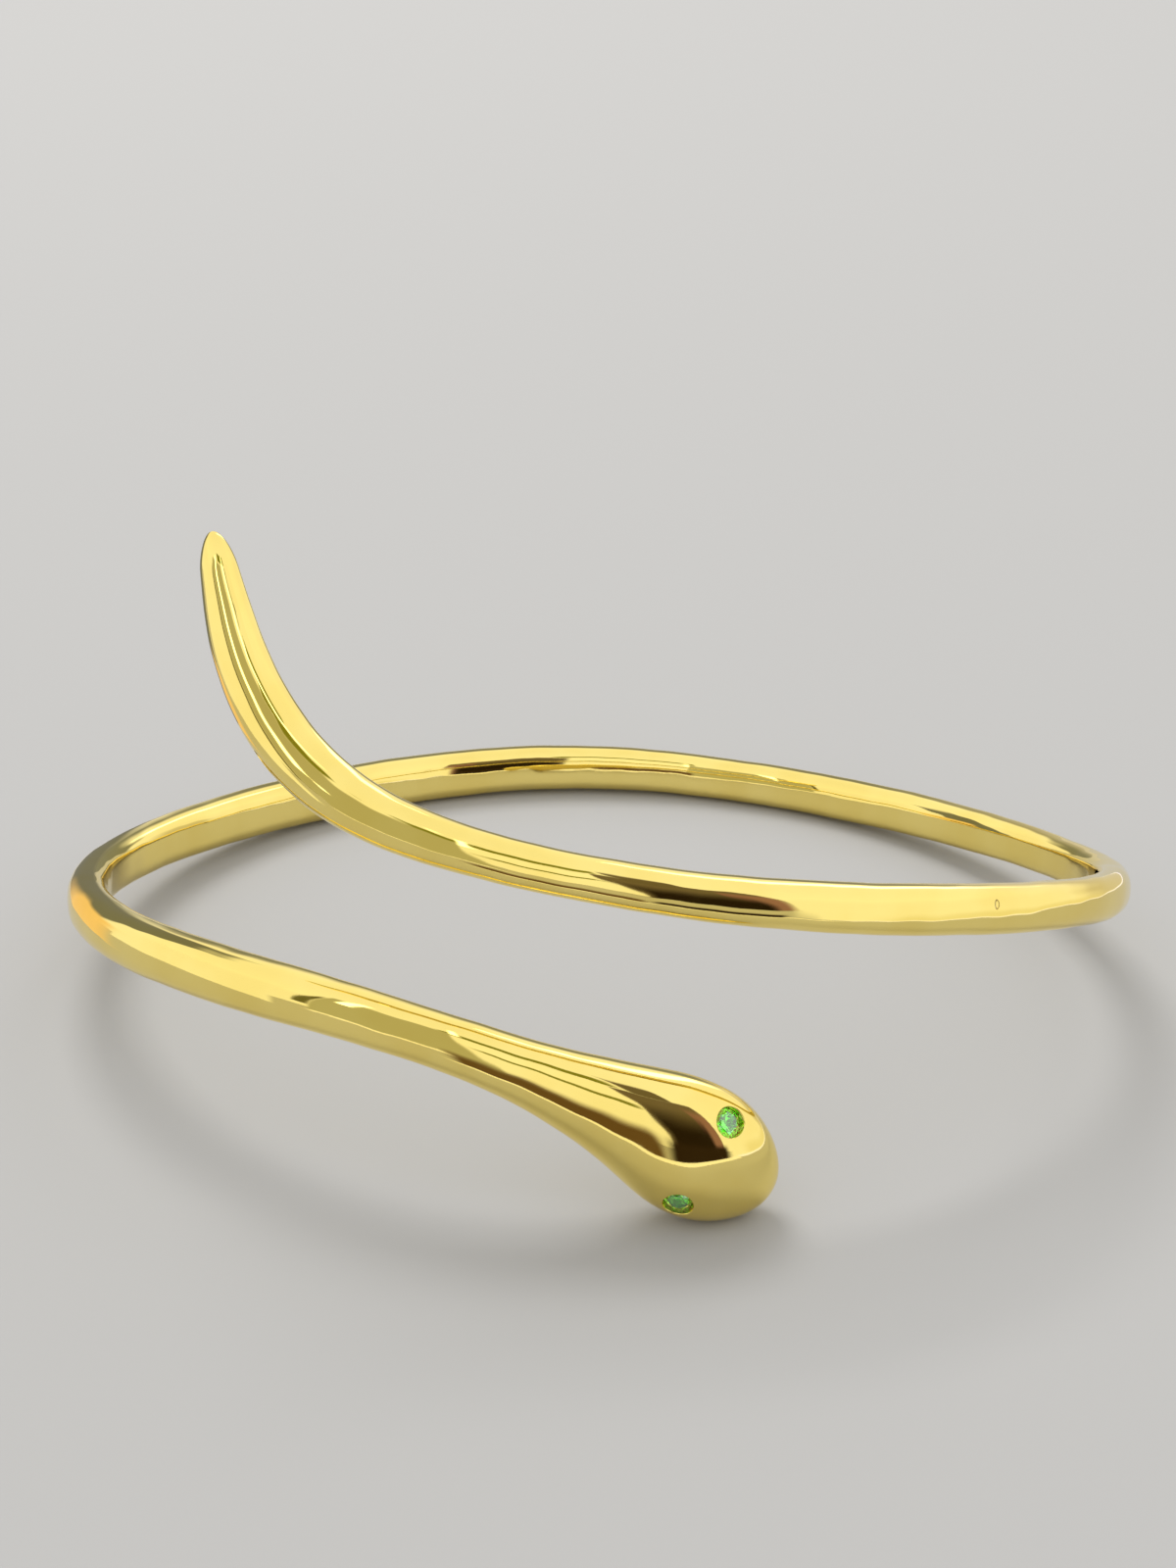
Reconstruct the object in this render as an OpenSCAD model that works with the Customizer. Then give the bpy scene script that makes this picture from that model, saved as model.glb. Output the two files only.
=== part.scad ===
// Snake bangle: one cast and polished body that goes once round the wrist and past
// its own beginning, with a flush-set green stone on each side of the head.
// Millimetres, +Z up. The bangle lies on its side on the plane z = 0, as it rests
// by itself, and its box is centred on the Z axis.

/* [Loop] */
// Half width of the oval that the body follows, side to side
loop_half_w = 29.95; // [28:0.05:32]
// Half depth of that oval, front to back
loop_half_d = 24.05; // [22:0.05:26]
// How far the resting bangle leans with its front raised, in degrees
lean_front = 12.2; // [11.7:0.1:12.7]
// How far it leans with its right side raised, in degrees
lean_side = 0.2; // [-0.2:0.1:0.6]

/* [Body] */
// Scale of the body's height and thickness against the table of sections
body_scale = 1; // [0.9:0.05:1.15]
// Length over which the nose is rounded
nose_round = 7.5; // [6.5:0.5:8.5]
// Length over which the tail's tip is rounded
tip_round = 2; // [1.5:0.25:3]

/* [Eyes] */
// Diameter of each eye stone
stone_d = 1.5; // [1.2:0.1:1.8]
// Place of the eyes, in degrees round the loop
eye_at = 76.7; // [75.5:0.1:78]
// Turn of each eye up or down from the middle of the head's outer face, in degrees
eye_turn = 45; // [38:1:52]
// Width of the stone's table against its diameter
table_share = 0.58; // [0.5:0.01:0.65]
// Gap all round a stone in its seat
stone_gap = 0.04; // [0.03:0.01:0.08]
// Depth of a stone's table below the metal
stone_sunk = 0.25; // [0.1:0.05:0.35]

/* [Fineness] */
// Rings of points for each row of the table of sections
rings_a_row = 6; // [4:1:7]
// Points round each ring
ring_points = 24; // [16:2:28]

/* [Hidden] */

gold = [0.86, 0.70, 0.33];
green = [0.10, 0.55, 0.18];

// The table of sections, from the nose round to the tail's tip. Each row pulls the
// body like a control point of a cubic B-spline. Columns:
//   at     degrees round the loop, clockwise seen from above, from the +X side
//   rise   height of the section's middle over the loop's own plane
//   tall   height of the section, along the loop's axis
//   thick  thickness of the section, from the inner wall to the outer face
//   face   exponent of the outer half: 2 is an ellipse, more is flatter, less has a ridge
//   wall   exponent of the inner half, which lies against the wrist
AT = 0;
RISE = 1;
TALL = 2;
THICK = 3;
FACE = 4;
WALL = 5;
sections = [
    //at, rise, tall, thick, face, wall
    [67.8, -9.7, 7.9, 5.0, 2.2, 2.3],
    [75, -7.9, 8.5, 5.3, 2.2, 2.3],
    [84, -5.6, 5.9, 4.0, 2.2, 2.4],
    [96, -3.4, 3.2, 2.4, 2.2, 2.7],
    [112, -1.3, 2.7, 2.2, 2.3, 3.0],
    [130, -0.3, 3.1, 2.5, 2.3, 3.0],
    [150, -0.1, 3.0, 2.4, 2.3, 3.0],
    [170, -0.5, 2.9, 2.3, 2.3, 3.0],
    [190, -1.0, 2.9, 2.3, 2.3, 3.0],
    [210, -0.7, 3.1, 2.5, 2.3, 3.0],
    [230, 0.0, 3.2, 2.5, 2.3, 3.0],
    [250, 0.7, 3.0, 2.4, 2.3, 3.0],
    [270, 0.9, 2.9, 2.3, 2.3, 3.0],
    [290, 0.4, 2.7, 2.2, 2.3, 3.0],
    [310, -0.2, 2.8, 2.3, 2.3, 3.0],
    [330, -0.6, 2.7, 2.2, 2.3, 3.0],
    [350, -0.4, 2.5, 2.1, 2.3, 3.0],
    [370, 1.3, 2.6, 2.1, 2.3, 3.0],
    [390, 3.2, 2.6, 2.2, 2.3, 3.0],
    [410, 4.6, 2.7, 2.2, 2.3, 3.0],
    [430, 5.7, 2.5, 2.1, 2.2, 3.0],
    [446, 6.7, 2.3, 2.0, 2.1, 3.0],
    [462, 7.9, 2.3, 2.0, 1.9, 3.0],
    [475, 9.2, 2.7, 2.2, 1.9, 2.9],
    [485, 11.4, 3.3, 2.6, 1.8, 2.7],
    [491, 14.5, 3.3, 2.6, 1.8, 2.5],
    [495, 18.3, 2.9, 2.3, 1.8, 2.4],
    [497, 23.2, 1.6, 1.4, 1.8, 2.4]
];
last_row = len(sections) - 1;

// Steps used to take directions from neighbouring places
row_step = 0.02;
angle_step = 0.05;

// The table with one row more at each end, so that the spline starts and ends on
// the first and the last row
held_rows = concat(
    [2 * sections[0] - sections[1]],
    sections,
    [2 * sections[last_row] - sections[last_row - 1]]
);

// All the columns at place u along the table, blended from the four nearest rows
function section_at(u) =
    let (
        row = min(floor(u), last_row - 1),
        f = u - row,
        weights = [pow(1 - f, 3), 3 * pow(f, 3) - 6 * f * f + 4,
            -3 * pow(f, 3) + 3 * f * f + 3 * f + 1, pow(f, 3)] / 6
    )
    weights * [for (k = [0:3]) held_rows[row + k]];

function unit(v) = v / norm(v);
function clamp(x, low, high) = min(max(x, low), high);

// A point of the oval, seen from above, at an angle round the loop
function oval_point(at) =
    let (radius = 1 / sqrt(pow(cos(at) / loop_half_w, 2) + pow(sin(at) / loop_half_d, 2)))
    [radius * cos(at), -radius * sin(at), 0];

// The middle line of the body, and its direction
function middle(u) = let (s = section_at(u)) oval_point(s[AT]) + [0, 0, s[RISE]];
function along(u) =
    unit(middle(clamp(u + row_step, 0, last_row)) - middle(clamp(u - row_step, 0, last_row)));

// The outward direction of the section: square to the oval and to the middle line
function outward(u) =
    let (
        at = section_at(u)[AT],
        run = oval_point(at + angle_step) - oval_point(at - angle_step),
        square = unit([-run.y, run.x, 0]),
        t = along(u)
    )
    unit(square - t * (square * t));

// Share of the full section left at a place by the rounding of both ends
function round_off(distance, length) =
    let (share = clamp(distance / length, 0, 1))
    sqrt(max(1 - pow(1 - share, 2), 0));
function end_share(u) =
    round_off(norm(middle(u) - middle(0)), nose_round)
    * round_off(norm(middle(u) - middle(last_row)), tip_round);

// A power that keeps the sign of its base
function signed_pow(x, p) = sign(x) * pow(abs(x), p);

// A point of the skin: place u along the table, turn round the section from the
// middle of the outer face
function skin(u, turn) =
    let (
        s = section_at(u),
        t = along(u),
        out = outward(u),
        up = cross(t, out),
        form = 2 / (abs(turn) <= 90 || abs(turn) >= 270 ? s[FACE] : s[WALL]),
        size = end_share(u) * body_scale / 2
    )
    middle(u)
    + out * size * s[THICK] * signed_pow(cos(turn), form)
    + up * size * s[TALL] * signed_pow(sin(turn), form);

// Places of the rings: even along the body, closer where the ends are rounded
cap_rings = 9;
cap_angles = [for (k = [0:cap_rings - 1]) 90 * k / cap_rings];
nose_rows = nose_round * row_step / norm(middle(row_step) - middle(0));
tip_rows = tip_round * row_step / norm(middle(last_row) - middle(last_row - row_step));
plain_rings = round((last_row - nose_rows - tip_rows) * rings_a_row);
places = concat(
    [for (k = [1:cap_rings - 1]) nose_rows * (1 - cos(cap_angles[k]))],
    [for (k = [0:plain_rings])
        nose_rows + (last_row - nose_rows - tip_rows) * k / plain_rings],
    [for (k = [cap_rings - 1:-1:1]) last_row - tip_rows * (1 - cos(cap_angles[k]))]
);
turns = [for (k = [0:ring_points - 1]) 360 * k / ring_points];

// Turns a point from the loop's own frame to the frame of the resting bangle
function laid(p) =
    let (
        tipped = [p.x, cos(lean_front) * p.y + sin(lean_front) * p.z,
            -sin(lean_front) * p.y + cos(lean_front) * p.z]
    )
    [cos(lean_side) * tipped.x - sin(lean_side) * tipped.z, tipped.y,
        sin(lean_side) * tipped.x + cos(lean_side) * tipped.z];

skin_points = concat(
    [middle(0)],
    [for (u = places) for (turn = turns) skin(u, turn > 180 ? turn - 360 : turn)],
    [middle(last_row)]
);
laid_points = [for (p = skin_points) laid(p)];
low = [for (k = [0:2]) min([for (p = laid_points) p[k]])];
high = [for (k = [0:2]) max([for (p = laid_points) p[k]])];

// The triangles: a fan at the nose, two a patch along the body, a fan at the tip
ring_count = len(places);
tail_pole = 1 + ring_count * ring_points;
function knot(ring, k) = 1 + ring * ring_points + k % ring_points;
skin_faces = concat(
    [for (k = [0:ring_points - 1]) [0, knot(0, k), knot(0, k + 1)]],
    [for (ring = [0:ring_count - 2]) for (k = [0:ring_points - 1]) each [
        [knot(ring, k), knot(ring + 1, k), knot(ring + 1, k + 1)],
        [knot(ring, k), knot(ring + 1, k + 1), knot(ring, k + 1)]
    ]],
    [for (k = [0:ring_points - 1])
        [tail_pole, knot(ring_count - 1, k + 1), knot(ring_count - 1, k)]]
);

// Proportions of a round brilliant, as shares of its diameter
crown_share = 0.15;
girdle_share = 0.04;
pavilion_share = 0.42;
crown_corner_share = 0.80;
pavilion_corner_share = 0.26;
crown = crown_share * stone_d;
girdle = girdle_share * stone_d;
pavilion = pavilion_share * stone_d;
stone_r = stone_d / 2;

// Main facets round the crown and round the pavilion, and sides of the girdle
mains = 8;
sides = 2 * mains;
main_angle = 360 / mains;
side_angle = 360 / sides;

// Distance from the girdle's edge to a main facet of the crown or the pavilion, at a
// corner that lies one side of the girdle further round
function facet_drop(corner_r, inner_r, depth) =
    depth * (stone_r - corner_r * cos(side_angle)) / (stone_r - inner_r);
function spot(r, angle, z) = [r * cos(angle), r * sin(angle), z];

table_r = table_share * stone_r / cos(side_angle);
crown_corner_r = crown_corner_share * stone_r;
pavilion_corner_r = pavilion_corner_share * stone_r;
stone_points = concat(
    [for (k = [0:mains - 1]) spot(table_r, k * main_angle, crown)],
    [for (k = [0:mains - 1]) spot(crown_corner_r, (k + 0.5) * main_angle,
        facet_drop(crown_corner_r, table_r, crown))],
    [for (k = [0:sides - 1]) spot(stone_r, k * side_angle, 0)],
    [for (k = [0:sides - 1]) spot(stone_r, k * side_angle, -girdle)],
    [for (k = [0:mains - 1]) spot(pavilion_corner_r, (k + 0.5) * main_angle,
        -girdle - facet_drop(pavilion_corner_r, 0, pavilion))],
    [[0, 0, -girdle - pavilion]]
);
function table_corner(k) = k % mains;
function crown_corner(k) = mains + (k + mains) % mains;
function girdle_top(k) = 2 * mains + k % sides;
function girdle_base(k) = 2 * mains + sides + k % sides;
function pavilion_corner(k) = 2 * mains + 2 * sides + (k + mains) % mains;
culet = 3 * mains + 2 * sides;
stone_faces = concat(
    [[for (k = [mains - 1:-1:0]) table_corner(k)]],
    [for (k = [0:mains - 1]) each [
        [table_corner(k), table_corner(k + 1), crown_corner(k)],
        [table_corner(k), crown_corner(k), girdle_top(2 * k)],
        [table_corner(k), girdle_top(2 * k), crown_corner(k - 1)],
        [crown_corner(k), girdle_top(2 * k + 1), girdle_top(2 * k)],
        [crown_corner(k), girdle_top(2 * k + 2), girdle_top(2 * k + 1)],
        [pavilion_corner(k), girdle_base(2 * k), girdle_base(2 * k + 1)],
        [pavilion_corner(k), girdle_base(2 * k + 1), girdle_base(2 * k + 2)],
        [culet, girdle_base(2 * k), pavilion_corner(k)],
        [culet, pavilion_corner(k - 1), girdle_base(2 * k)]
    ]],
    [for (k = [0:sides - 1]) each [
        [girdle_top(k), girdle_top(k + 1), girdle_base(k + 1)],
        [girdle_top(k), girdle_base(k + 1), girdle_base(k)]
    ]]
);

// The seat of a stone: a round bore down to the girdle and a cone for the pavilion,
// drilled from well above the metal
bore_r = stone_r + stone_gap;
seat_base = girdle + stone_gap;
seat_tip_r = 0.08;
seat_depth = girdle + pavilion + 2 * stone_gap;
bore_top = 2;
seat_sides = 32;

// Place along the table for an angle round the loop
eye_place = lookup(eye_at, [for (k = [0:last_row]) [sections[k][AT], k]]);

// Puts what is drawn round the Z axis into the head: the metal's surface there
// passes through the table of the stone, less what it is sunk
module at_eye(turn) {
    centre = skin(eye_place, turn);
    across = skin(eye_place, turn + 1) - skin(eye_place, turn - 1);
    forward = skin(eye_place + row_step, turn) - skin(eye_place - row_step, turn);
    normal = unit(cross(across, forward));
    girdle_middle = centre - normal * (crown + stone_sunk);
    translate(girdle_middle)
        rotate(a = acos(normal.z), v = cross([0, 0, 1], normal))
            children();
}

// Lays the loop on the plane z = 0 with its box centred on the Z axis
module lay_down() {
    translate([-(low.x + high.x) / 2, -(low.y + high.y) / 2, -low.z])
        rotate([-lean_front, -lean_side, 0])
            children();
}

module eye_seat() {
    rotate_extrude($fn = seat_sides)
        polygon([
            [0, -seat_depth],
            [seat_tip_r, -seat_depth],
            [bore_r, -seat_base],
            [bore_r, bore_top],
            [0, bore_top]
        ]);
}

module bangle() {
    color(gold)
        lay_down()
            difference() {
                polyhedron(skin_points, skin_faces);
                at_eye(eye_turn) eye_seat();
                at_eye(-eye_turn) eye_seat();
            }
}

module eye_stone(turn) {
    color(green)
        lay_down()
            at_eye(turn)
                polyhedron(stone_points, stone_faces);
}

module eye_stone_upper() {
    eye_stone(eye_turn);
}

module eye_stone_lower() {
    eye_stone(-eye_turn);
}

bangle();
eye_stone_upper();
eye_stone_lower();
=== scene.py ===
import math

import bpy
import numpy as np
from mathutils import Matrix, Vector


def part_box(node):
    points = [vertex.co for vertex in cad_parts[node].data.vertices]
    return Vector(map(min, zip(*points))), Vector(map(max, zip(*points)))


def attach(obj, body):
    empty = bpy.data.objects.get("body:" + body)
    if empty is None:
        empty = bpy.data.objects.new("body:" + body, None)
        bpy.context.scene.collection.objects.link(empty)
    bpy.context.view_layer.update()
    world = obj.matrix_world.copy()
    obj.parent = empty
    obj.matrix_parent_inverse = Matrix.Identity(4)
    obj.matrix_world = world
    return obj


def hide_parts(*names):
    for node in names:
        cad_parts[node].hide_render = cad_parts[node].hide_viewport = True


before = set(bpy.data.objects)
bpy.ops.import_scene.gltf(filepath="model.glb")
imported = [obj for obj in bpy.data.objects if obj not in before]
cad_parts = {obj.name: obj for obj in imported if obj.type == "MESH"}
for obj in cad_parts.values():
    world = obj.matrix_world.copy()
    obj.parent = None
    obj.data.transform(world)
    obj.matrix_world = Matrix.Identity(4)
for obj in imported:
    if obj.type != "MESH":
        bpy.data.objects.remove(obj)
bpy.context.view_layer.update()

MM = 0.001

# Loop: half width and half depth of the oval, and the lean of the resting bangle
LOOP_HALF_W = 29.95
LOOP_HALF_D = 24.05
LEAN_FRONT = math.radians(12.2)
LEAN_SIDE = math.radians(0.2)

# Lengths over which the nose and the tail's tip are rounded
NOSE_ROUND = 7.5
TIP_ROUND = 2.0

# Eyes: place round the loop, turn from the head's middle, and the stone's sizes
EYE_AT = 76.7
EYE_TURN = math.radians(45)
STONE_R = 0.75
STONE_CROWN = 0.15 * 2 * STONE_R
STONE_GIRDLE = 0.04 * 2 * STONE_R
STONE_PAVILION = 0.42 * 2 * STONE_R
STONE_SUNK = 0.25
SEAT_GAP = 0.04

# The table of sections, from the nose round to the tail's tip, one row each:
# degrees round the loop, height over the loop's plane, height and thickness of the
# section, and the exponents of its outer face and its inner wall
AT, RISE, TALL, THICK, FACE, WALL = range(6)
SECTIONS = np.array([
    (67.8, -9.7, 7.9, 5.0, 2.2, 2.3),
    (75, -7.9, 8.5, 5.3, 2.2, 2.3),
    (84, -5.6, 5.9, 4.0, 2.2, 2.4),
    (96, -3.4, 3.2, 2.4, 2.2, 2.7),
    (112, -1.3, 2.7, 2.2, 2.3, 3.0),
    (130, -0.3, 3.1, 2.5, 2.3, 3.0),
    (150, -0.1, 3.0, 2.4, 2.3, 3.0),
    (170, -0.5, 2.9, 2.3, 2.3, 3.0),
    (190, -1.0, 2.9, 2.3, 2.3, 3.0),
    (210, -0.7, 3.1, 2.5, 2.3, 3.0),
    (230, 0.0, 3.2, 2.5, 2.3, 3.0),
    (250, 0.7, 3.0, 2.4, 2.3, 3.0),
    (270, 0.9, 2.9, 2.3, 2.3, 3.0),
    (290, 0.4, 2.7, 2.2, 2.3, 3.0),
    (310, -0.2, 2.8, 2.3, 2.3, 3.0),
    (330, -0.6, 2.7, 2.2, 2.3, 3.0),
    (350, -0.4, 2.5, 2.1, 2.3, 3.0),
    (370, 1.3, 2.6, 2.1, 2.3, 3.0),
    (390, 3.2, 2.6, 2.2, 2.3, 3.0),
    (410, 4.6, 2.7, 2.2, 2.3, 3.0),
    (430, 5.7, 2.5, 2.1, 2.2, 3.0),
    (446, 6.7, 2.3, 2.0, 2.1, 3.0),
    (462, 7.9, 2.3, 2.0, 1.9, 3.0),
    (475, 9.2, 2.7, 2.2, 1.9, 2.9),
    (485, 11.4, 3.3, 2.6, 1.8, 2.7),
    (491, 14.5, 3.3, 2.6, 1.8, 2.5),
    (495, 18.3, 2.9, 2.3, 1.8, 2.4),
    (497, 23.2, 1.6, 1.4, 1.8, 2.4),
], float)
LAST = len(SECTIONS) - 1

# The exponents that most sections have
USUAL_FACE = 2.3
USUAL_WALL = 3.0

# Small steps for working out directions: in rows of the table, in degrees round the
# loop, and in turn round the section
ROW_STEP = 0.02
ANGLE_STEP = 0.05
TURN_STEP = math.radians(1)

# Fineness of the swept skin: points round a section, millimetres between rings, rings
# over each rounded end, and lengths worked out for each row of the table
POINTS_ROUND = 104
RING_SPACING = 0.30
NOSE_RINGS = 40
TIP_RINGS = 14
LENGTHS_PER_ROW = 50


def unit(v):
    """Each vector divided by its length."""
    return v / np.linalg.norm(v, axis=-1, keepdims=True)


def signed_power(x, power):
    """The size of x raised to a power, with the sign of x kept."""
    return np.sign(x) * np.abs(x) ** power


def section_at(place):
    """All columns of SECTIONS at a place along the table: the four nearest rows blended
    by the uniform cubic B-spline, with a mirrored row held past each end."""
    before = 2 * SECTIONS[:1] - SECTIONS[1:2]
    after = 2 * SECTIONS[-1:] - SECTIONS[-2:-1]
    rows = np.concatenate([before, SECTIONS, after])
    place = np.asarray(place, float)
    row = np.clip(np.floor(place).astype(int), 0, LAST - 1)
    f = (place - row)[..., None]
    weights = (
        (1 - f) ** 3,
        3 * f**3 - 6 * f**2 + 4,
        -3 * f**3 + 3 * f**2 + 3 * f + 1,
        f**3,
    )
    return sum(weight * rows[row + k] for k, weight in enumerate(weights)) / 6


def oval_point(degrees):
    """A point of the oval seen from above: at an angle round it, at the radius
    1 / sqrt((cos / half width)^2 + (sin / half depth)^2), clockwise from +X."""
    angle = np.radians(degrees)
    radius = 1 / np.hypot(np.cos(angle) / LOOP_HALF_W, np.sin(angle) / LOOP_HALF_D)
    return np.stack(
        [radius * np.cos(angle), -radius * np.sin(angle), 0 * angle], axis=-1
    )


def middle(place):
    """The body's middle line: the oval's point at the row's angle, raised by its rise."""
    row = section_at(place)
    return oval_point(row[..., AT]) + row[..., RISE, None] * np.array([0, 0, 1.0])


def along(place):
    """Direction of the middle line, from points a small step to either side."""
    ahead = middle(np.clip(place + ROW_STEP, 0, LAST))
    behind = middle(np.clip(place - ROW_STEP, 0, LAST))
    return unit(ahead - behind)


def outward(place):
    """Outward direction of the section: the oval's own normal, made square to along."""
    degrees = section_at(place)[..., AT]
    run = oval_point(degrees + ANGLE_STEP) - oval_point(degrees - ANGLE_STEP)
    square = unit(np.stack([-run[..., 1], run[..., 0], 0 * degrees], axis=-1))
    line = along(place)
    return unit(square - line * np.sum(square * line, axis=-1, keepdims=True))


def end_share(place):
    """Share of the full section left near the ends: at a distance d from an end that is
    rounded over a length L it is sqrt(1 - (1 - d / L)^2), and one beyond L."""
    share = 1.0
    for end, length in ((0.0, NOSE_ROUND), (float(LAST), TIP_ROUND)):
        distance = np.linalg.norm(middle(place) - middle(end), axis=-1)
        left = 1 - np.clip(distance / length, 0, 1)
        share = share * np.sqrt(np.maximum(1 - left**2, 0))
    return share


def skin(place, turn):
    """The body's skin. A section is two half superellipses: half its thickness times
    cos^(2 / exponent) along outward, and half its height times sin^(2 / exponent) along
    up, with the exponent of the outer face or of the inner wall."""
    row = section_at(place)
    out = outward(place)
    up = np.cross(along(place), out)
    power = 2 / np.where(np.cos(turn) >= 0, row[..., FACE], row[..., WALL])
    size = end_share(place) / 2
    out_part = size * row[..., THICK] * signed_power(np.cos(turn), power)
    up_part = size * row[..., TALL] * signed_power(np.sin(turn), power)
    return middle(place) + out * out_part[..., None] + up * up_part[..., None]


def laid(points):
    """Turns points from the loop's frame into the resting frame: first about X, which
    raises the front by LEAN_FRONT, then about Y, which raises the right by LEAN_SIDE."""
    x, y, z = np.moveaxis(points, -1, 0)
    y, z = (
        math.cos(LEAN_FRONT) * y + math.sin(LEAN_FRONT) * z,
        math.cos(LEAN_FRONT) * z - math.sin(LEAN_FRONT) * y,
    )
    x, z = (
        math.cos(LEAN_SIDE) * x - math.sin(LEAN_SIDE) * z,
        math.cos(LEAN_SIDE) * z + math.sin(LEAN_SIDE) * x,
    )
    return np.stack([x, y, z], axis=-1)


# Length along the middle line against place, for even spacing and for the grain
FINE_PLACES = np.linspace(0, LAST, LENGTHS_PER_ROW * LAST + 1)
FINE_LENGTHS = np.concatenate([
    [0.0],
    np.cumsum(np.linalg.norm(np.diff(middle(FINE_PLACES), axis=0), axis=-1)),
])
BODY_LENGTH = FINE_LENGTHS[-1]


def length_at(place):
    """Length along the middle line from the nose."""
    return np.interp(place, FINE_PLACES, FINE_LENGTHS)


def place_at_length(length):
    """Place along the table at a length from the nose."""
    return np.interp(length, FINE_LENGTHS, FINE_PLACES)


def place_at_angle(degrees):
    """Place along the table for an angle round the loop, straight between rows."""
    return float(np.interp(degrees, SECTIONS[:, AT], np.arange(len(SECTIONS))))


def ring_lengths():
    """Lengths of the rings: 1 - cos of an even angle over each rounded end, which puts
    them close together at the poles, and even steps between."""
    nose = NOSE_ROUND * (1 - np.cos(np.linspace(0, np.pi / 2, NOSE_RINGS + 1)[1:-1]))
    tip = TIP_ROUND * (1 - np.cos(np.linspace(0, np.pi / 2, TIP_RINGS + 1)[1:-1]))
    start, stop = NOSE_ROUND, BODY_LENGTH - TIP_ROUND
    between = np.linspace(start, stop, int((stop - start) / RING_SPACING) + 1)
    return np.concatenate([nose, between, (BODY_LENGTH - tip)[::-1]])


def even_turns():
    """Turns round the section that give nearly even steps on its superellipse: an even
    angle t becomes the angle whose tangent is tan(t)^(exponent / 2)."""
    even = -np.pi + 2 * np.pi * np.arange(POINTS_ROUND) / POINTS_ROUND
    power = np.where(np.cos(even) >= 0, USUAL_FACE, USUAL_WALL) / 2
    return np.arctan2(signed_power(np.sin(even), power), signed_power(np.cos(even), power))


# Hand polishing: long shallow waves in the skin, as waves per millimetre of length,
# waves round the section, height in millimetres, and phase
POLISH_WAVES = (
    (0.11, 1, 0.010, 0.4),
    (0.19, 2, 0.006, 2.1),
    (0.31, 1, 0.004, 4.0),
    (0.47, 3, 0.0025, 1.2),
)

# Distance from the section's middle, in millimetres, under which the waves die away
WAVES_END = 0.05


def polished_skin(place, turn):
    """The skin with the waves left by hand polishing: sines of the length along the body
    plus the turn round it, moved along the line from the middle of the section."""
    points = skin(place, turn)
    length = length_at(place)
    height = sum(
        size * np.sin(2 * np.pi * waves * length + lobes * turn + phase)
        for waves, lobes, size, phase in POLISH_WAVES
    )
    outwards = points - middle(place)
    reach = np.maximum(np.linalg.norm(outwards, axis=-1, keepdims=True), WAVES_END)
    return points + outwards / reach * (height * end_share(place))[..., None]


def grain(place, turn):
    """Unrolled coordinates that follow the body, for patterns: the length along it, and
    the cosine and the sine of the turn times half the section's height."""
    radius = section_at(place)[..., TALL] / 2
    length = length_at(place) + 0 * turn
    return np.stack([length, radius * np.cos(turn), radius * np.sin(turn)], axis=-1)


def eye_axes(turn):
    """Middle of an eye on the skin, with two directions along the skin and its normal:
    the normal is across x forward, from points a small step to either side."""
    place = place_at_angle(EYE_AT)
    centre = skin(place, turn)
    across = skin(place, turn + TURN_STEP) - skin(place, turn - TURN_STEP)
    forward = skin(place + ROW_STEP, turn) - skin(place - ROW_STEP, turn)
    normal = unit(np.cross(across, forward))
    side = unit(forward)
    return centre, side, np.cross(normal, side), normal


# Grid window that is cut out round each eye, in rings and in points to either side
WINDOW_RINGS = 8
WINDOW_POINTS = 7

# Rings from the window to the seat's rim, the radius that the rim is rounded over, and
# the rings over it
PATCH_RINGS = 9
RIM_ROUND = 0.06
RIM_RINGS = 5

# Newton's steps that find the rim on the skin, and the step for their slope
RIM_TRIES = 8
SLOPE_STEP = 0.01

# Foot of the seat: how far over the girdle the ledge starts, how far past both edges of
# the girdle the close fit goes, its gap there, and the radius of the cone's blunt end
LEDGE_START = 0.04
GRIP_PAST = 0.01
GRIP_GAP = 0.006
CONE_END_R = 0.08


def window_loop(ring, point):
    """Grid indices once round the window's edge: up its near ring, forward along its
    last turn, down its far ring, and back along its first turn."""
    near, far = ring - WINDOW_RINGS, ring + WINDOW_RINGS
    first, last = point - WINDOW_POINTS, point + WINDOW_POINTS
    forward, upward = np.arange(near, far), np.arange(first, last)
    i = [np.full(len(upward), near), forward, np.full(len(upward), far), forward[::-1] + 1]
    j = [upward, np.full(len(forward), last), upward[::-1] + 1, np.full(len(forward), first)]
    return np.concatenate(i), np.concatenate(j)


def strips(loops):
    """Quads between each closed loop of vertex numbers and the next one."""
    near, far = loops[:-1], loops[1:]
    return np.stack(
        [near, np.roll(near, -1, axis=1), np.roll(far, -1, axis=1), far], axis=-1
    ).reshape(-1, 4)


def rim_places(turn, axes, directions):
    """Places and turns of the skin's points on a circle round an eye's axis: Newton's
    steps with the slope at the middle, until their offsets along the two directions
    of the skin are the radius times the cosine and the sine of each direction."""
    centre, side, other, _ = axes
    place = place_at_angle(EYE_AT)

    def offsets(places, turns):
        away = skin(places, turns) - centre
        return np.stack([away @ side, away @ other], axis=-1)

    slope = np.stack([
        offsets(place + SLOPE_STEP, turn) - offsets(place - SLOPE_STEP, turn),
        offsets(place, turn + SLOPE_STEP) - offsets(place, turn - SLOPE_STEP),
    ], axis=-1) / (2 * SLOPE_STEP)
    back = np.linalg.inv(slope)
    radius = STONE_R + SEAT_GAP + RIM_ROUND
    target = radius * np.stack([np.cos(directions), np.sin(directions)], axis=-1)
    found = np.array([place, turn]) + target @ back.T
    for _ in range(RIM_TRIES):
        found = found + (target - offsets(found[:, 0], found[:, 1])) @ back.T
    return found


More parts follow.
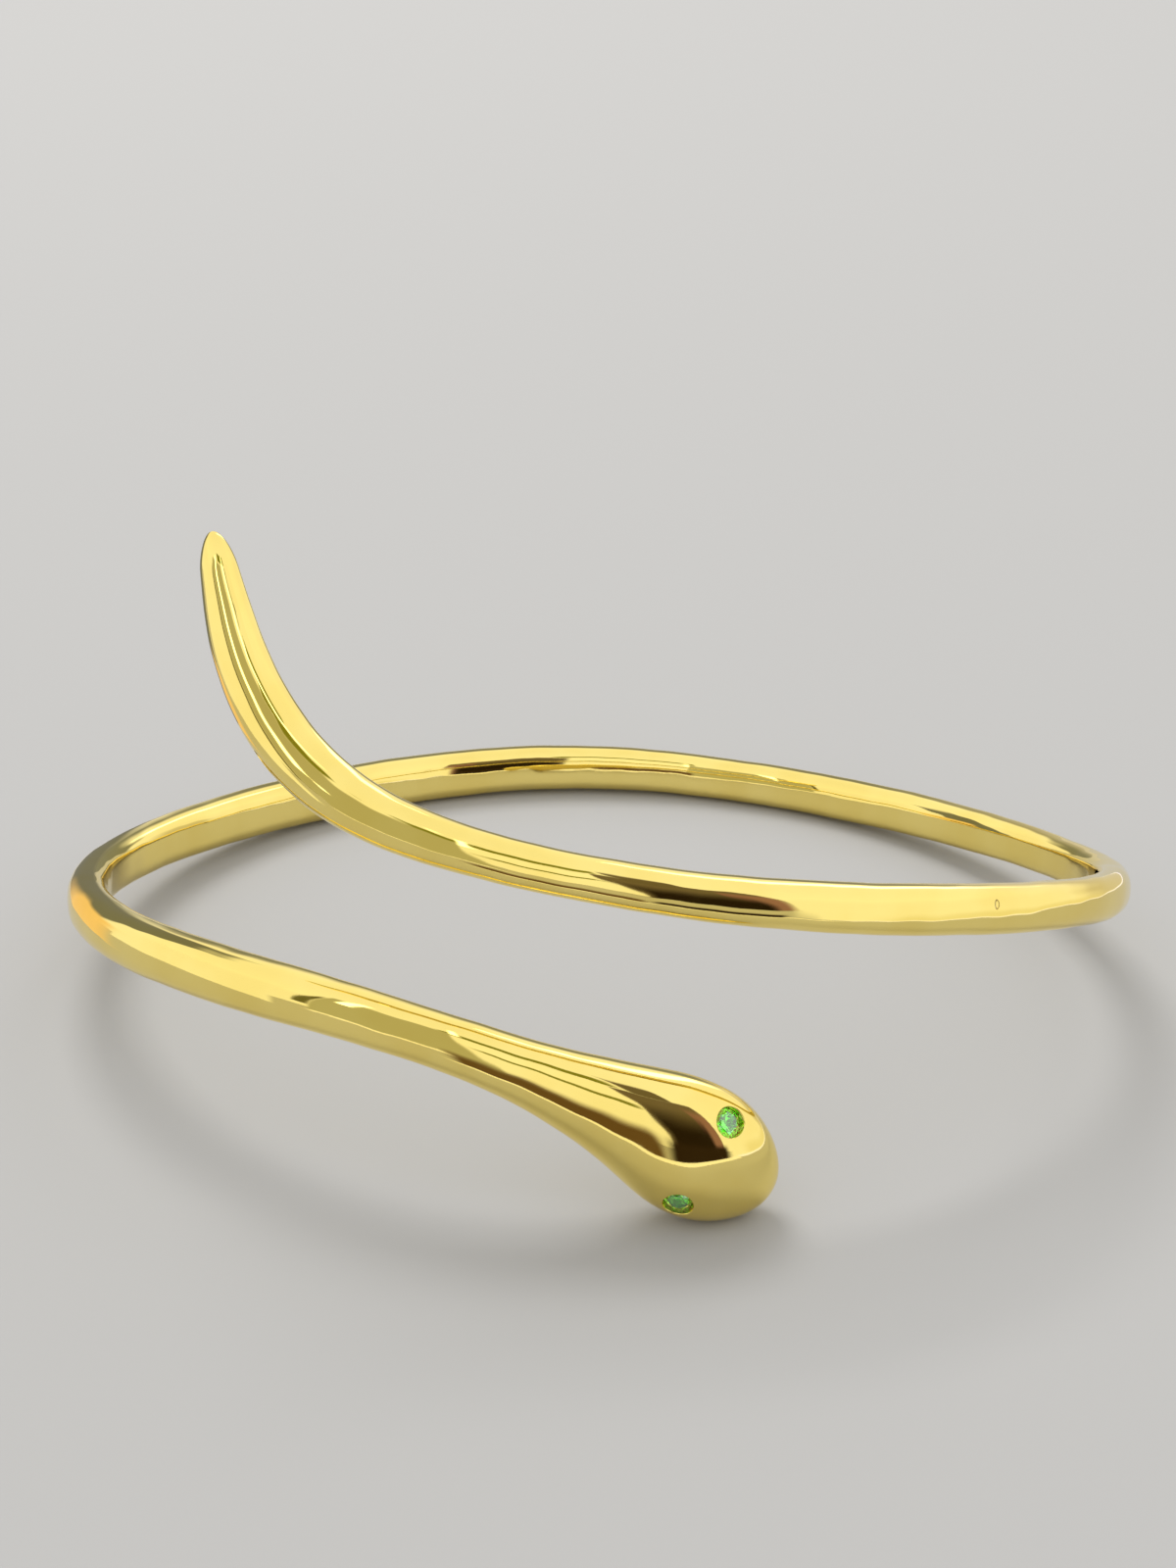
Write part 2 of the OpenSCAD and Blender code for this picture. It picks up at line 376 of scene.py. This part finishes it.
def seat_profile():
    """Radius and depth of a seat below its rounded rim: the bore's wall, a ledge that
    closes on the stone's girdle, the girdle, and the cone under the pavilion."""
    girdle_top = STONE_SUNK + STONE_CROWN
    girdle_foot = girdle_top + STONE_GIRDLE
    grip = STONE_R + GRIP_GAP
    return (
        (STONE_R + SEAT_GAP, girdle_top - LEDGE_START),
        (grip, girdle_top - GRIP_PAST),
        (grip, girdle_foot + GRIP_PAST),
        (CONE_END_R, girdle_foot + STONE_PAVILION),
    )


def seat_rings(axes, rim, directions):
    """Rings of a seat inside its rim: a quarter round from the skin into the bore, then
    the profile's radii and depths turned round the eye's axis."""
    centre, side, other, normal = axes
    spoke = np.cos(directions)[:, None] * side + np.sin(directions)[:, None] * other
    height = (rim - centre) @ normal
    bore = STONE_R + SEAT_GAP
    rings = []
    for angle in np.linspace(0, np.pi / 2, RIM_RINGS + 1)[1:]:
        radius = bore + RIM_ROUND * (1 - math.sin(angle))
        level = height - RIM_ROUND * (1 - math.cos(angle))
        rings.append(centre + spoke * radius + normal * level[:, None])
    for radius, depth in seat_profile():
        rings.append(centre + spoke * radius - normal * depth)
    return np.stack(rings)


def eye_patch(turn, edge, edge_numbers, count):
    """Vertices, grain and faces of the skin round one eye. The edge is the places and
    turns once round a window in the grid, with their vertex numbers, and the new
    vertices are numbered from count. Rings go from the edge to the round rim of the
    seat in even steps of place and turn, then down the seat to a point at its bottom."""
    axes = eye_axes(turn)
    centre, side, other, _ = axes
    away = skin(edge[:, 0], edge[:, 1]) - centre
    directions = np.arctan2(away @ other, away @ side)
    rim = rim_places(turn, axes, directions)
    share = (np.arange(PATCH_RINGS) / PATCH_RINGS)[::-1, None, None]
    patch = rim + (edge - rim) * share
    patch_points = polished_skin(patch[..., 0], patch[..., 1])
    seat = seat_rings(axes, patch_points[-1], directions)
    rings = np.concatenate([patch_points, seat])
    held = np.concatenate([patch, np.repeat(rim[None], len(seat), axis=0)])
    numbers = count + np.arange(rings.shape[0] * rings.shape[1]).reshape(rings.shape[:2])
    last = numbers[-1]
    bottom = np.full_like(last, count + numbers.size)
    points = [rings.reshape(-1, 3), seat[-1].mean(axis=0)[None]]
    coordinates = [
        grain(held[..., 0], held[..., 1]).reshape(-1, 3),
        grain(rim[:1, 0], rim[:1, 1]),
    ]
    faces = [
        strips(np.concatenate([edge_numbers[None], numbers])),
        np.stack([last, np.roll(last, -1), bottom], axis=-1),
    ]
    return points, coordinates, faces


def swept_body():
    """Vertices, faces and grain of the whole body: a grid of rings and turns with a
    pole at each end, and round each eye a window cut in the grid and a patch with the
    seat in it."""
    places = place_at_length(ring_lengths())
    turns = even_turns()
    grid = (places[:, None], turns[None, :])
    start, end, unturned = np.zeros(1), np.full(1, float(LAST)), np.zeros(1)
    numbers = 1 + np.arange(len(places) * POINTS_ROUND).reshape(-1, POINTS_ROUND)
    cells = strips(numbers).reshape(-1, POINTS_ROUND, 4)
    kept = np.ones(cells.shape[:2], bool)

    points = [middle(start), polished_skin(*grid).reshape(-1, 3)]
    coordinates = [grain(start, unturned), grain(*grid).reshape(-1, 3)]
    faces = []
    for turn in (EYE_TURN, -EYE_TURN):
        ring = int(np.abs(places - place_at_angle(EYE_AT)).argmin())
        point = int(np.abs(turns - turn).argmin())
        window_rings = slice(ring - WINDOW_RINGS, ring + WINDOW_RINGS)
        window_points = slice(point - WINDOW_POINTS, point + WINDOW_POINTS)
        kept[window_rings, window_points] = False
        i, j = window_loop(ring, point)
        edge = np.stack([places[i], turns[j]], axis=-1)
        count = sum(len(group) for group in points)
        patch = eye_patch(turn, edge, numbers[i, j], count)
        points += patch[0]
        coordinates += patch[1]
        faces += patch[2]

    nose, tip = numbers[0], numbers[-1]
    end_number = np.full_like(tip, sum(len(group) for group in points))
    points.append(middle(end))
    coordinates.append(grain(end, unturned))
    faces += [
        cells[kept],
        np.stack([np.roll(nose, -1), nose, np.zeros_like(nose)], axis=-1),
        np.stack([tip, np.roll(tip, -1), end_number], axis=-1),
    ]
    return np.concatenate(points), faces, np.concatenate(coordinates)


def used_only(points, faces, coordinates):
    """Drops the vertices that no face uses and numbers the rest again in order."""
    used = np.zeros(len(points), bool)
    for group in faces:
        used[group.ravel()] = True
    number = np.cumsum(used) - 1
    return points[used], [number[group] for group in faces], coordinates[used]


def seated(points):
    """Lays the loop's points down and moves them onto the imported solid: the middles of
    the two boxes seen from above meet, and so do their lowest points."""
    low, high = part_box("bangle")
    low, high = np.array(low) / MM, np.array(high) / MM
    points = laid(points)
    shift = (low + high) / 2 - (points.min(axis=0) + points.max(axis=0)) / 2
    shift[2] = low[2] - points[:, 2].min()
    return points + shift


def make_bangle():
    """The swept body as one smooth mesh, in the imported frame."""
    points, faces, coordinates = used_only(*swept_body())
    points = seated(points)
    mesh = bpy.data.meshes.new("gold_body")
    rows = [row for group in faces for row in group.tolist()]
    mesh.from_pydata((points * MM).tolist(), [], rows)
    mesh.polygons.foreach_set("use_smooth", np.ones(len(mesh.polygons), bool))
    attribute = mesh.attributes.new("grain", "FLOAT_VECTOR", "POINT")
    attribute.data.foreach_set("vector", coordinates.astype(np.float32).ravel())
    mesh.validate()
    mesh.update()
    piece = bpy.data.objects.new("gold_body", mesh)
    bpy.context.scene.collection.objects.link(piece)
    return piece


class Value:
    """A shader socket that stands in a Python expression: each operator adds the Math
    node that works it out."""

    def __init__(self, shader, socket):
        self.shader = shader
        self.socket = socket

    def __add__(self, other):
        return self.shader.math("ADD", self, other)

    def __sub__(self, other):
        return self.shader.math("SUBTRACT", self, other)

    def __rsub__(self, other):
        return self.shader.math("SUBTRACT", other, self)

    def __mul__(self, other):
        return self.shader.math("MULTIPLY", self, other)

    __radd__ = __add__
    __rmul__ = __mul__


class Shader:
    """Builds the nodes of one material or of the world."""

    def __init__(self, owner):
        owner.use_nodes = True
        self.tree = owner.node_tree
        self.tree.nodes.clear()

    def node(self, kind, settings=None, sockets=None, out=0):
        """Adds a node of a type: its settings first, then the values or links of its
        sockets. Returns one of its outputs, or none where it has none."""
        made = self.tree.nodes.new(kind)
        for name, value in (settings or {}).items():
            if name == "stops":
                self.set_stops(made.color_ramp, value)
            else:
                setattr(made, name, value)
        for name, value in (sockets or {}).items():
            if isinstance(value, Value):
                self.tree.links.new(value.socket, made.inputs[name])
            else:
                made.inputs[name].default_value = value
        return Value(self, made.outputs[out]) if made.outputs else None

    def set_stops(self, ramp, stops):
        """Gives a colour ramp its stops, each a place from 0 to 1 and a colour."""
        while len(ramp.elements) < len(stops):
            ramp.elements.new(1.0)
        for element, (place, colour) in zip(ramp.elements, stops):
            element.position = place
            element.color = (*colour, 1.0)

    def math(self, operation, first, second):
        """One Math node on two values or sockets."""
        return self.node("ShaderNodeMath", {"operation": operation}, {0: first, 1: second})

    def noise(self, vector, scale, detail, roughness):
        """Noise from 0 to 1 at a scale in waves per unit of the vector."""
        sockets = {"Vector": vector, "Scale": scale, "Detail": detail, "Roughness": roughness}
        return self.node("ShaderNodeTexNoise", {}, sockets)

    def between(self, value, low, high):
        """Maps a value from low..high onto 0..1, smoothly and held at both ends."""
        settings = {"interpolation_type": "SMOOTHSTEP"}
        sockets = {"Value": value, "From Min": low, "From Max": high}
        return self.node("ShaderNodeMapRange", settings, sockets)

    def mix(self, share, first, second):
        """Two colours mixed by a share."""
        sockets = {0: share, 6: first, 7: second}
        return self.node("ShaderNodeMix", {"data_type": "RGBA"}, sockets, out=2)


# A small oval dent in the tail strand: place round the loop, turn from the face's
# middle, half length, half height and depth, in millimetres, and the parts of those half
# sizes where its floor ends and its wall ends
DENT_AT = 401.6
DENT_TURN = math.radians(21)
DENT_HALF = (0.15, 0.28)
DENT_DEPTH = 0.06
DENT_WALL = (0.6, 1.1)

# Gold: its two tones, and the painted shade on the dent's wall
GOLD_TONES = ((0.93, 0.735, 0.21, 1.0), (0.97, 0.785, 0.25, 1.0))
DENT_PAINTED_SHADE = (0.36, 0.22, 0.05, 1.0)

# Patterns on the gold: each one's waves per millimetre, detail and roughness, and then
# the range of its values that shows
CLOUDS = (0.22, 3.0, 0.5)
CLOUDS_SHOW = (0.35, 0.65)
SMEARS = (0.9, 4.0, 0.6)
SMEARS_SHOW = (0.45, 0.75)
SCRATCHES = (1.6, 3.0, 0.7)
SCRATCHES_SHOW = (0.55, 0.8)
SPECKLE = (9.0, 2.0, 0.5)

# How the scratches are squeezed along the body and across it
SCRATCHES_SQUEEZE = (0.7, 14.0, 14.0)

# Roughness of the bare polish, and what the smears and the scratches add to it
GOLD_ROUGHNESS = 0.03
SMEARS_ADD = 0.04
SCRATCHES_ADD = 0.02

# Height of the scratches and of the speckle, in millimetres
SCRATCHES_HEIGHT = 0.00022
SPECKLE_HEIGHT = 0.00014


def gold():
    """Polished yellow gold: two close tones in slow clouds, a bright finish that is
    duller where it has been handled, fine scratches that run along the body, and one
    dent, whose wall is a smooth step of the distance from its middle over its half
    sizes and carries painted shade, darkest half way up."""
    material = bpy.data.materials.new("polished_gold")
    shader = Shader(material)
    follow = shader.node("ShaderNodeAttribute", {"attribute_name": "grain"}, out="Vector")
    lengthwise = {"Vector": follow, "Scale": SCRATCHES_SQUEEZE}
    clouds = shader.noise(follow, *CLOUDS)
    smears = shader.noise(follow, *SMEARS)
    scratches = shader.noise(shader.node("ShaderNodeMapping", {}, lengthwise), *SCRATCHES)
    speckle = shader.noise(follow, *SPECKLE)
    colour = shader.mix(shader.between(clouds, *CLOUDS_SHOW), *GOLD_TONES)
    roughness = (
        GOLD_ROUGHNESS
        + SMEARS_ADD * shader.between(smears, *SMEARS_SHOW)
        + SCRATCHES_ADD * shader.between(scratches, *SCRATCHES_SHOW)
    )
    dent_middle = grain(np.array(place_at_angle(DENT_AT)), np.array(DENT_TURN))
    from_dent = shader.node("ShaderNodeMapping", {"vector_type": "TEXTURE"}, {
        "Vector": follow,
        "Location": tuple(dent_middle.tolist()),
        "Scale": (DENT_HALF[0], DENT_HALF[1], DENT_HALF[1]),
    })
    away = shader.node("ShaderNodeVectorMath", {"operation": "LENGTH"}, {0: from_dent}, out="Value")
    dent = shader.between(away, *DENT_WALL)
    # Painted shade: the dent's wall is darkened brown, most at half its height
    colour = shader.mix(4 * dent * (1 - dent), colour, DENT_PAINTED_SHADE)
    relief = SCRATCHES_HEIGHT * scratches + SPECKLE_HEIGHT * speckle + DENT_DEPTH * dent
    bump = shader.node("ShaderNodeBump", {}, {"Strength": 1.0, "Distance": MM, "Height": relief})
    surface = shader.node("ShaderNodeBsdfPrincipled", {}, {
        "Base Color": colour,
        "Metallic": 1.0,
        "Roughness": roughness,
        "Normal": bump,
    })
    shader.node("ShaderNodeOutputMaterial", {}, {"Surface": surface})
    return material


# Stones: their two greens, the veins' waves per metre, detail and roughness, the range of
# the veins that shows, and how rough and how clear a stone is and how it bends light
GEM_GREENS = ((0.10, 0.84, 0.02, 1.0), (0.30, 0.98, 0.12, 1.0))
VEINS = (900.0, 3.0, 0.5)
VEINS_SHOW = (0.35, 0.7)
GEM_ROUGHNESS = 0.02
GEM_CLEAR = 0.92
GEM_IOR = 2.0


def green_gem():
    """Clear green cut stone: two close greens in fine veins, and polished facets."""
    material = bpy.data.materials.new("green_gem")
    shader = Shader(material)
    place = shader.node("ShaderNodeTexCoord", {}, out="Object")
    veins = shader.between(shader.noise(place, *VEINS), *VEINS_SHOW)
    surface = shader.node("ShaderNodeBsdfPrincipled", {}, {
        "Base Color": shader.mix(veins, *GEM_GREENS),
        "Roughness": GEM_ROUGHNESS,
        "IOR": GEM_IOR,
        "Transmission Weight": GEM_CLEAR,
        "Coat Weight": 1.0,
        "Coat Roughness": 0.0,
        "Coat IOR": GEM_IOR,
    })
    shader.node("ShaderNodeOutputMaterial", {}, {"Surface": surface})
    return material


# Floor: its grey, its roughness, and half its side in metres
FLOOR_GREY = (0.38, 0.375, 0.367, 1.0)
FLOOR_ROUGHNESS = 0.75
FLOOR_HALF = 3.0


def pale_floor():
    """Plain matt pale grey, with no gloss, so that the cards leave no trace on it."""
    material = bpy.data.materials.new("pale_floor")
    shader = Shader(material)
    surface = shader.node("ShaderNodeBsdfPrincipled", {}, {
        "Base Color": FLOOR_GREY,
        "Roughness": FLOOR_ROUGHNESS,
        "Specular IOR Level": 0.0,
    })
    shader.node("ShaderNodeOutputMaterial", {}, {"Surface": surface})
    return material


def make_floor():
    """A flat square floor under the bangle."""
    half = FLOOR_HALF
    mesh = bpy.data.meshes.new("floor")
    corners = [(-half, -half, 0), (half, -half, 0), (half, half, 0), (-half, half, 0)]
    mesh.from_pydata(corners, [], [(0, 1, 2, 3)])
    mesh.materials.append(pale_floor())
    floor = bpy.data.objects.new("floor", mesh)
    bpy.context.scene.collection.objects.link(floor)


# Dome: its colour by the sine of the height over the horizon, from 0 at it to 1 overhead
DOME = (
    (0.0, (1.00, 0.99, 0.97)),
    (0.5, (1.12, 1.11, 1.09)),
    (1.0, (1.04, 1.04, 1.04)),
)


def make_dome():
    """A soft pale dome, brightest at 30 degrees over the horizon."""
    world = bpy.data.worlds.new("dome")
    bpy.context.scene.world = world
    shader = Shader(world)
    direction = shader.node("ShaderNodeTexCoord", {}, out="Generated")
    upward = shader.node("ShaderNodeSeparateXYZ", {}, {"Vector": direction}, out="Z")
    colour = shader.node("ShaderNodeValToRGB", {"stops": DOME}, {"Fac": upward})
    light = shader.node("ShaderNodeBackground", {}, {"Color": colour, "Strength": 1.0})
    shader.node("ShaderNodeOutputWorld", {}, {"Surface": light})


# The soft lights: azimuth and elevation in degrees, width and length in metres, glow,
# and whether the metal mirrors it
SOFTBOXES = {
    "window_behind": (67, 32, (0.13, 0.60), 2.0, True),
    "key_above": (115, 58, (0.36, 0.36), 9.0, False),
}

# How far off they stand, in metres
SOFTBOX_AWAY = 0.8

# Whites that more than one card has
RING_WHITE = (1.06, 1.05, 1.02)
SILL_WHITE = (1.15, 1.12, 1.15)
STRIP_WHITE = (3.0, 3.0, 2.9)

# The cards, in millimetres and degrees: half width and half depth of the oval that each
# stands on, from and to round it, low and high edge over the floor, the degrees and the
# height over which the card fades at its sides and its top, and its colour
CARDS = {
    "far_ring": (174, 150, -190, 190, 0, 90, 4, 60, RING_WHITE),
    "right_ring": (74.4, 50.4, -69, 58, 0, 40, 3, 25, RING_WHITE),
    "left_ring": (74.4, 50.4, 172, 232, 0, 40, 3, 25, RING_WHITE),
    "right_sill": (73, 49, -67, 57, 0, 1.2, 5, 0.3, (1.15, 1.16, 1.70)),
    "right_low": (74, 50, -62, 60, 1.2, 11, 12, 8, (0.94, 0.90, 0.74)),
    "right_end": (73.8, 49.8, 10, 76, 1.2, 24, 22, 12, (0.70, 0.66, 0.58)),
    "front_sill": (69, 45, -106, -64, 0, 1.3, 3, 0.3, SILL_WHITE),
    "left_sill": (94, 70, -128, -101, 0, 2.0, 3, 0.3, SILL_WHITE),
    "front_foot": (69.2, 45.2, -87, -69.5, 1.2, 8, 2.5, 3, (0.030, 0.018, 0.010)),
    "low_foot": (69.3, 45.3, -105, -86, 1.2, 9, 2, 4, (0.14, 0.085, 0.04)),
    "front_card": (144, 120, -85, -59.5, 0.8, 115, 1.2, 8, (0.17, 0.135, 0.10)),
    "front_warm": (143.5, 119.5, -69, -59.7, 2, 100, 1.5, 30, (0.31, 0.17, 0.18)),
    "front_dark": (143, 119, -85, -64, 0.8, 85, 3, 60, (0.020, 0.012, 0.006)),
    "front_top": (80, 56, -83.5, -74, 42, 76, 1.2, 14, (0.16, 0.13, 0.09)),
    "top_line": (144, 120, -108, -80, 116, 160, 3, 8, (0.24, 0.25, 0.03)),
    "middle_line": (144, 120, -103, -84, 49, 60, 3, 3, (0.26, 0.27, 0.05)),
    "left_card": (94.4, 70.4, -127, -101.5, 1.8, 76, 1.2, 8, (0.50, 0.49, 0.38)),
    "left_edge": (94.2, 70.2, -129, -126.2, 12, 66, 0.8, 20, (0.16, 0.15, 0.06)),
    "left_strip": (73.5, 49.5, -118.8, -115.2, 30, 66, 1.2, 8, STRIP_WHITE),
    "front_strip": (73.5, 49.5, -101.6, -98.4, 42, 76, 1.2, 8, STRIP_WHITE),
    "back_low": (144, 120, 66, 112, 0.5, 54, 6, 28, (0.25, 0.26, 0.25)),
    "left_near": (44, 33, 134, 178, 0.5, 52, 4, 16, (0.20, 0.21, 0.22)),
    "left_warm": (43.5, 32.5, 150, 194, 0.2, 13, 14, 3, (1.0, 0.72, 0.40)),
    "tip_light": (45, 36, -105, -83, 43, 56, 2, 3, RING_WHITE),
}

# Points along each side of a card's grid
CARD_POINTS = 49


def make_softbox(name, azimuth, elevation, size, glow, mirrored):
    """A soft light at a direction from the bangle, which it faces, with its length
    upright, and which the metal mirrors or not. Its power is its glow times its area
    times pi."""
    data = bpy.data.lights.new(name, "AREA")
    data.shape = "RECTANGLE"
    data.size, data.size_y = size
    data.energy = glow * size[0] * size[1] * math.pi
    light = bpy.data.objects.new(name, data)
    azimuth, elevation = math.radians(azimuth), math.radians(elevation)
    light.location = SOFTBOX_AWAY * Vector((
        math.cos(azimuth) * math.cos(elevation),
        math.sin(azimuth) * math.cos(elevation),
        math.sin(elevation),
    ))
    light.rotation_euler = (-light.location).to_track_quat("-Z", "Y").to_euler()
    light.visible_camera = False
    light.visible_glossy = mirrored
    bpy.context.scene.collection.objects.link(light)


def card_finish(name, colour, side_fade, top_fade):
    """Even glow that fades out towards a card's two sides and its top: the fade is a
    smooth step from each of those edges of its UV square, multiplied."""
    material = bpy.data.materials.new(name)
    shader = Shader(material)
    place = shader.node("ShaderNodeTexCoord", {}, out="UV")
    across = shader.node("ShaderNodeSeparateXYZ", {}, {"Vector": place}, out="X")
    upward = shader.node("ShaderNodeSeparateXYZ", {}, {"Vector": place}, out="Y")
    sides = shader.between(across, 0.0, side_fade) * shader.between(1 - across, 0.0, side_fade)
    fade = sides * shader.between(1 - upward, 0.0, top_fade)
    clear = shader.node("ShaderNodeBsdfTransparent")
    card = shader.node("ShaderNodeEmission", {}, {"Color": (*colour, 1.0), "Strength": 1.0})
    surface = shader.node("ShaderNodeMixShader", {}, {0: fade, 1: clear, 2: card})
    shader.node("ShaderNodeOutputMaterial", {}, {"Surface": surface})
    return material


def make_card(name, half_w, half_d, start, stop, low, high, soft_sides, soft_top, colour):
    """A curved card that stands round the bangle and that only the metal and the stones
    mirror: a grid of the angle round an oval and of the height over the floor."""
    across, upward = np.meshgrid(np.linspace(0, 1, CARD_POINTS), np.linspace(0, 1, CARD_POINTS))
    angle = np.radians(start + (stop - start) * across)
    points = MM * np.stack([
        half_w * np.cos(angle),
        half_d * np.sin(angle),
        low + (high - low) * upward,
    ], axis=-1)
    number = np.arange(CARD_POINTS**2).reshape(CARD_POINTS, CARD_POINTS)
    faces = np.stack(
        [number[:-1, :-1], number[1:, :-1], number[1:, 1:], number[:-1, 1:]], axis=-1
    ).reshape(-1, 4)
    mesh = bpy.data.meshes.new(name)
    mesh.from_pydata(points.reshape(-1, 3).tolist(), [], faces.tolist())
    square = np.stack([across.ravel(), upward.ravel()], axis=-1)[faces.ravel()]
    mesh.uv_layers.new(name="UVMap").data.foreach_set("uv", square.ravel())
    mesh.materials.append(
        card_finish(name, colour, soft_sides / (stop - start), soft_top / (high - low))
    )
    card = bpy.data.objects.new(name, mesh)
    card.visible_camera = False
    card.visible_diffuse = False
    card.visible_shadow = False
    bpy.context.scene.collection.objects.link(card)


# Camera: the photograph's view. Its distance, its elevation and how far to the right it
# stands, how it is panned, pitched and rolled, its lens and its frame's height, all in
# millimetres, and the nearest and farthest that it sees in metres
CAMERA_DISTANCE = 155.1
CAMERA_ELEVATION = math.radians(30.8)
CAMERA_ASIDE = 0.97
CAMERA_PAN = math.radians(-0.70)
CAMERA_PITCH = math.radians(26.6)
CAMERA_ROLL = math.radians(0.90)
CAMERA_LENS = 59.4
CAMERA_FRAME = 36.0
CAMERA_SEES = (0.01, 50.0)


def make_camera():
    """The camera: set back and raised from the bangle's middle, then panned, pitched
    down and rolled about its own line of sight."""
    data = bpy.data.cameras.new("camera")
    data.sensor_fit = "VERTICAL"
    data.sensor_height = CAMERA_FRAME
    data.lens = CAMERA_LENS
    data.clip_start, data.clip_end = CAMERA_SEES
    pan, pitch, roll = CAMERA_PAN, CAMERA_PITCH, CAMERA_ROLL
    forward = Vector((
        math.sin(pan) * math.cos(pitch),
        math.cos(pan) * math.cos(pitch),
        -math.sin(pitch),
    ))
    right = forward.cross(Vector((0, 0, 1))).normalized()
    up = right.cross(forward)
    right, up = (
        right * math.cos(roll) + up * math.sin(roll),
        up * math.cos(roll) - right * math.sin(roll),
    )
    turn = Matrix((right, up, -forward)).transposed().to_4x4()
    back = CAMERA_DISTANCE * math.cos(CAMERA_ELEVATION)
    raised = CAMERA_DISTANCE * math.sin(CAMERA_ELEVATION)
    camera = bpy.data.objects.new("camera", data)
    camera.matrix_world = Matrix.Translation(Vector((CAMERA_ASIDE, -back, raised)) * MM) @ turn
    bpy.context.scene.collection.objects.link(camera)
    bpy.context.scene.camera = camera


make_camera()
make_floor()
make_dome()
for softbox_name, softbox_columns in SOFTBOXES.items():
    make_softbox(softbox_name, *softbox_columns)
for card_name, card_columns in CARDS.items():
    make_card(card_name, *card_columns)
bpy.context.scene.view_settings.view_transform = "Standard"

body = make_bangle()
body.data.materials.append(gold())
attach(body, "root")
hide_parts("bangle")

gem = green_gem()
for stone_name in ("eye_stone_upper", "eye_stone_lower"):
    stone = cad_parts[stone_name]
    stone.data.materials.clear()
    stone.data.materials.append(gem)
